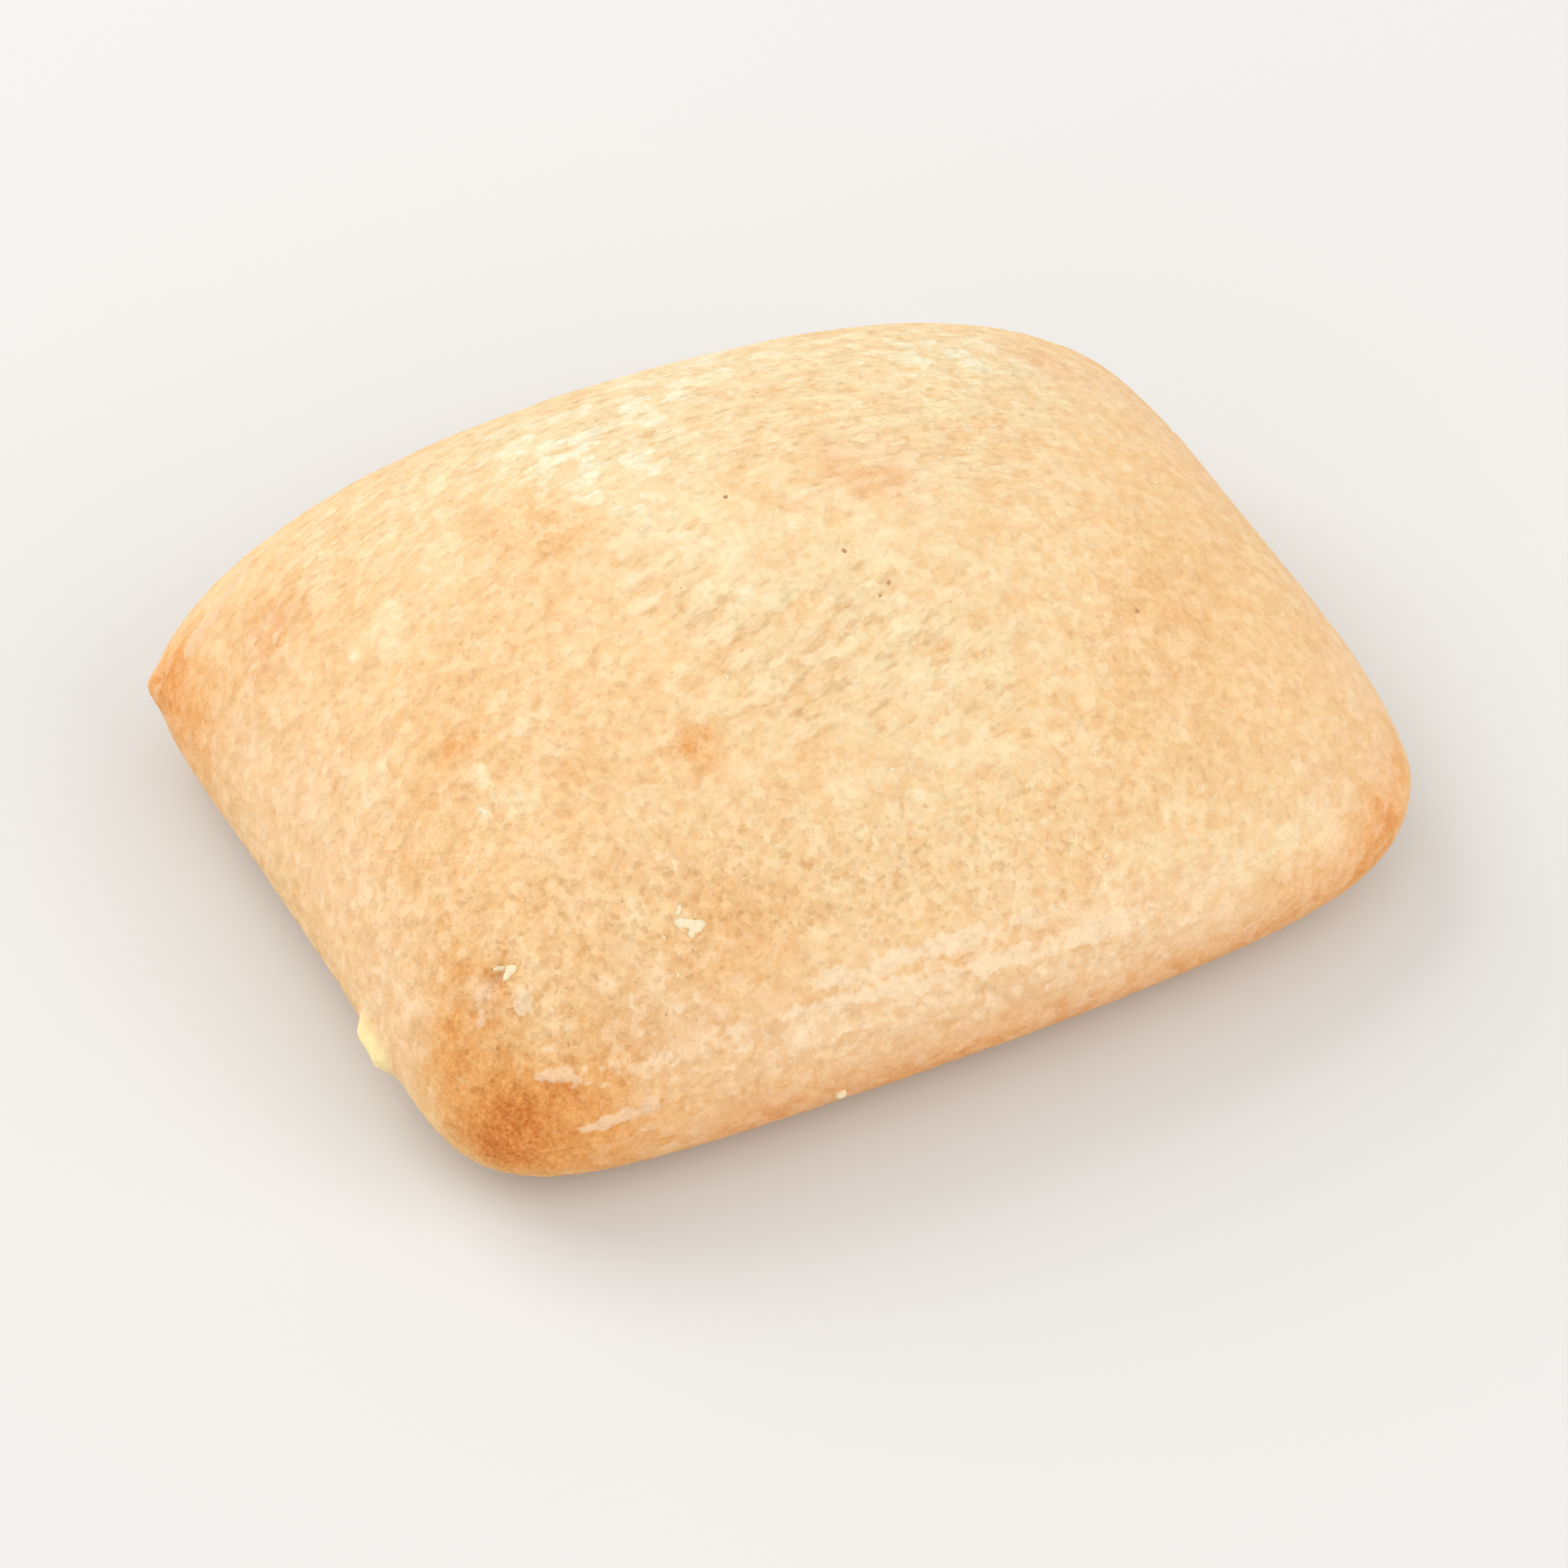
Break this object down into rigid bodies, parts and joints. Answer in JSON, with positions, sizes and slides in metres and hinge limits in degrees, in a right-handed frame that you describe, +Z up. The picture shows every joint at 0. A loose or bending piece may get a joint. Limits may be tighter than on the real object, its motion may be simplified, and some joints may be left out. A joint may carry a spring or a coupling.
{
  "type": "mini ciabatta roll",
  "caption": "Small oblong ciabatta roll: a domed cushion of pale floury crust with browned corners, folds along one shoulder and a flat base to rest on.",
  "frame": {"origin": "middle of the flat base, under the centre of the roll's outline", "axes": "+X along the roll, +Y towards its far long side, +Z up from the base to the crown"},
  "size_m": [0.0966, 0.074, 0.0363],
  "materials": {
    "crust": "dry matte bread crust, pale golden with browned corners and a dusting of flour"
  },
  "bodies": {
    "root": {"ciabatta": "crust"}
  },
  "joints": []
}
